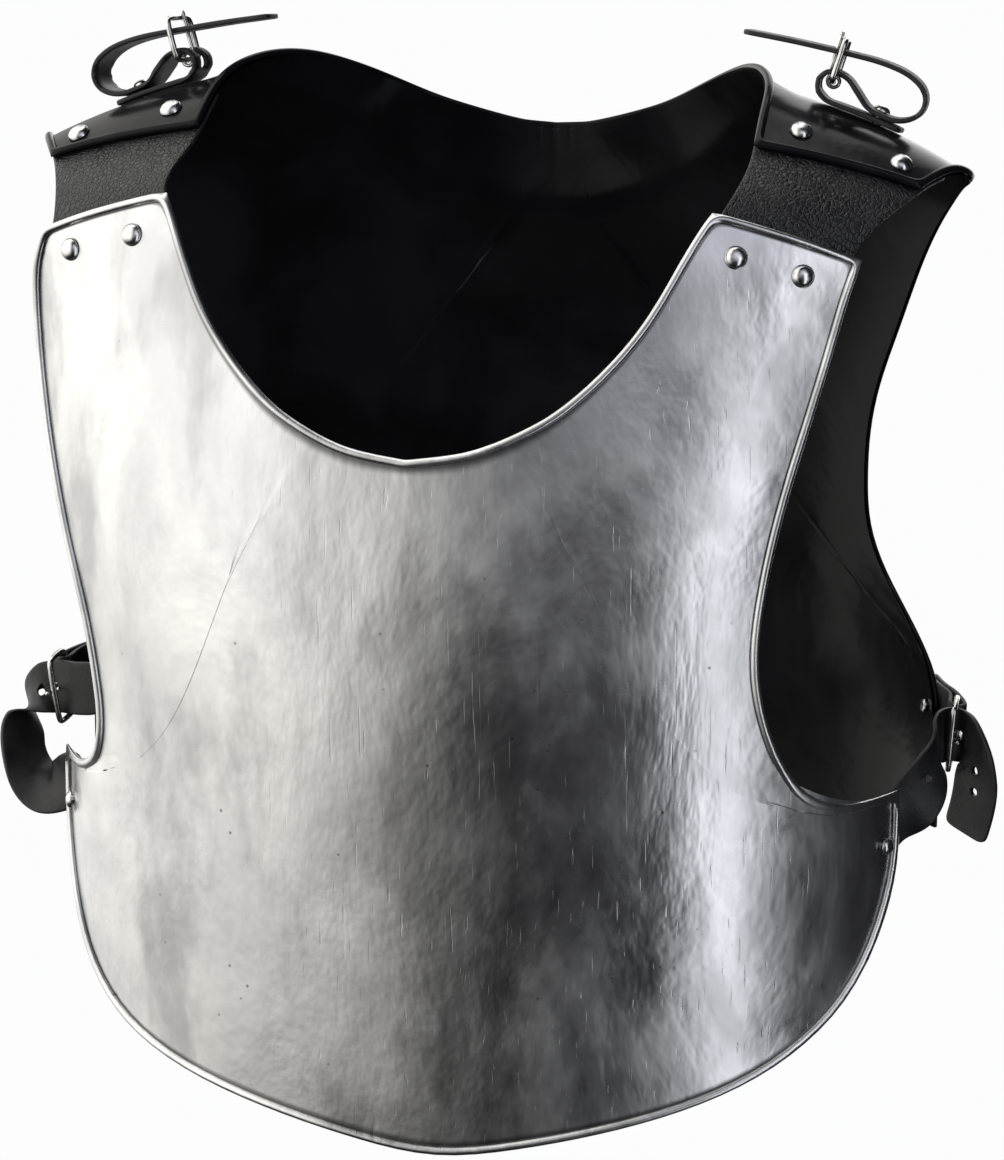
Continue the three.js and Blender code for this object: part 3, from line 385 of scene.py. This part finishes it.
# ---- finer surfaces ----
FLAT = math.radians(35)            # triangles left over join where they lean by less than this
SKEWED = math.radians(85)          # two triangles that share their longest edge may lean up to this
SQUARISH = math.radians(80)        # how far from square a cell of left-over triangles may be
FOLD = math.radians(62)            # an edge that bends by more than this stays an edge
SHARP = math.radians(40)           # on the finer surface, an edge that bends by more shows as one
FULL = 1.0                         # the sharpness of an edge that isn't rounded at all
NO_WALL = 1.0                      # metres: no edge is as long, so no edge counts as the wall
WALL_SLACK = 0.08                  # share of the wall by which an edge may differ from it
STEEL_LEVELS = 2                   # times that every cell is split in four
LEATHER_LEVELS = 3


def cells_of(node):
    """The CAD node as a bmesh, its triangles joined into four-sided cells wherever two make one."""
    bm = bmesh.new()
    bm.from_mesh(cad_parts[node].data)
    for layer in list(bm.loops.layers.uv):
        bm.loops.layers.uv.remove(layer)
    bmesh.ops.remove_doubles(bm, verts=bm.verts, dist=MERGE)
    longest = {face: max(edge.calc_length() for edge in face.edges) for face in bm.faces}
    for edge in sorted(bm.edges, key=lambda e: -e.calc_length()):
        if not edge.is_valid or len(edge.link_faces) != 2:
            continue
        a, b = edge.link_faces
        if len(a.verts) != 3 or len(b.verts) != 3 or edge.calc_face_angle() > SKEWED:
            continue
        length = edge.calc_length() + MERGE
        if length >= longest[a] and length >= longest[b]:
            bmesh.utils.face_join([a, b])
    rest = [face for face in bm.faces if len(face.verts) == 3]
    bmesh.ops.join_triangles(bm, faces=rest, angle_face_threshold=FLAT, angle_shape_threshold=SQUARISH)
    return bm


def keep_folds(bm, sharpness, wall):
    """Marks the edges that the finer surface keeps. Edges as long as the wall is thick round off."""
    layer = bm.edges.layers.float.new("crease_edge")
    for edge in bm.edges:
        if edge.calc_face_angle(0) > FOLD and abs(edge.calc_length() - wall) > wall * WALL_SLACK:
            edge[layer] = sharpness


def finer(name, bm, levels, look, replaces):
    """A subdivided piece from the cells, standing for the CAD nodes named in replaces."""
    mesh = bpy.data.meshes.new(name)
    bm.to_mesh(mesh)
    bm.free()
    mesh.materials.clear()
    mesh.materials.append(look)
    piece = bpy.data.objects.new(name, mesh)
    bpy.context.scene.collection.objects.link(piece)
    subdivide = piece.modifiers.new("finer", "SUBSURF")
    subdivide.levels = levels
    subdivide.render_levels = levels
    depsgraph = bpy.context.evaluated_depsgraph_get()
    fine = bpy.data.meshes.new_from_object(piece.evaluated_get(depsgraph))
    fine.name = name
    piece.modifiers.clear()
    piece.data = fine
    bpy.data.meshes.remove(mesh)
    for face in fine.polygons:
        face.use_smooth = True
    fine.set_sharp_from_angle(angle=SHARP)
    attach(piece, "root")
    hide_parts(*replaces)
    return piece


# ---- plates ----
STEEL_WALL = 1.5 * MM
BEAD_STEP = 1.25 * MM              # the wall from the sheet up to the rolled edge is lower than this
BEAD_FACES = 7                     # faces round the rolled edge, from the sheet's outside in
OUTSIDE, INSIDE, RIM = range(3)
BODY_TOP = -0.12                   # above this the plates bend in over the shoulders
BAND_LEAN = math.radians(7)        # backplate edges that bend back by more than this stay sharp
BAND_CREASE = 0.75                 # how sharp they stay
HAND_WORK = 0.16 * MM              # how far the sheet wanders from its form
BROAD_SWELL = 16                   # swells a metre
FINE_SWELL = 41
FINE_SHARE = 0.5                   # of a fine swell's height to a broad one's


def opposite(face, edge):
    """The edge of a four-sided face that lies over against the given one."""
    ends = set(edge.verts)
    return next(e for e in face.edges if not ends & set(e.verts))


def roll_faces(bm):
    """The faces of the rolled edge, and the corners at its foot."""
    rolled_faces, foot = set(), set()
    for edge in bm.edges:
        if edge.calc_face_angle_signed(0) > -FOLD:
            continue
        for face in edge.link_faces:
            sides = [e for e in face.edges if e is not edge and set(e.verts) & set(edge.verts)]
            if len(face.verts) != 4 or max(e.calc_length() for e in sides) > BEAD_STEP:
                continue
            foot.update(edge.verts)
            here, at = face, edge
            for _ in range(BEAD_FACES):
                rolled_faces.add(here)
                if len(here.verts) != 4:
                    break
                at = opposite(here, at)
                here = next(f for f in at.link_faces if f is not here)
    return rolled_faces, foot


def plate(node, look, banded=False):
    """One sheet. banded keeps the foot of its neck band sharp, and a few edges beside the armholes."""
    bm = cells_of(node)
    bm.normal_update()
    # the corners at the foot of the rolled edge, where the steel gets its painted shade
    foot_shade = bm.verts.layers.float.new("foot_shade")
    keep_folds(bm, FULL, STEEL_WALL)
    creases = bm.edges.layers.float["crease_edge"]
    rolled_faces, foot = roll_faces(bm)
    for vert in foot:
        vert[foot_shade] = 1.0
    sides = {}
    for face in bm.faces:
        middle = face.calc_center_median()
        out = middle - Vector((0, 0, min(middle.z, BODY_TOP)))
        sides[face] = OUTSIDE if face.normal.dot(out) > 0 else INSIDE
        if face in rolled_faces:
            sides[face] = RIM
    for edge in bm.edges:
        kinds = {sides[face] for face in edge.link_faces}
        lean = edge.calc_face_angle_signed(0) * (1 if kinds == {INSIDE} else -1)
        plain = edge[creases] == 0 and len(kinds) == 1 and RIM not in kinds
        if banded and plain and lean > BAND_LEAN:
            edge[creases] = BAND_CREASE
    piece = finer(node + "_sheet", bm, STEEL_LEVELS, look, [node])
    for vert in piece.data.vertices:
        spot = vert.co
        swell = noise.noise(spot * BROAD_SWELL) + FINE_SHARE * noise.noise(spot * FINE_SWELL)
        vert.co = spot + Vector((spot.x, spot.y, 0)).normalized() * swell * HAND_WORK


plate("breast_plate", POLISHED)
# The whole back plate is black: paint on the inside, painted dark reflection on the polished outside.
plate("back_plate", BLACK_PAINT_AND_DARK_REFLECTION, banded=True)


# ---- rivets, buckles and leather ----
def refine(node, levels, look, sharpness=FULL, wall=NO_WALL):
    bm = cells_of(node)
    bm.normal_update()
    if sharpness:
        keep_folds(bm, sharpness, wall)
    finer(node + "_fine", bm, levels, look, [node])


LEATHER_WALL = 2.4 * MM
LEATHER_EDGE = 0.4                 # how far the cut edges of leather stay sharp
for node in sorted(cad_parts):
    if node.endswith("_plate"):
        continue
    if "rivet" in node:
        refine(node, STEEL_LEVELS, DOMED)
    elif node.endswith(("_buckle", "_prong")):
        refine(node, STEEL_LEVELS, PLATED, sharpness=0)
    elif node.startswith("shoulder_leather"):
        refine(node, LEATHER_LEVELS, PEBBLED, LEATHER_EDGE, LEATHER_WALL)
    else:
        refine(node, LEATHER_LEVELS, SMOOTH, LEATHER_EDGE, LEATHER_WALL)

bpy.context.scene.view_settings.view_transform = "Standard"
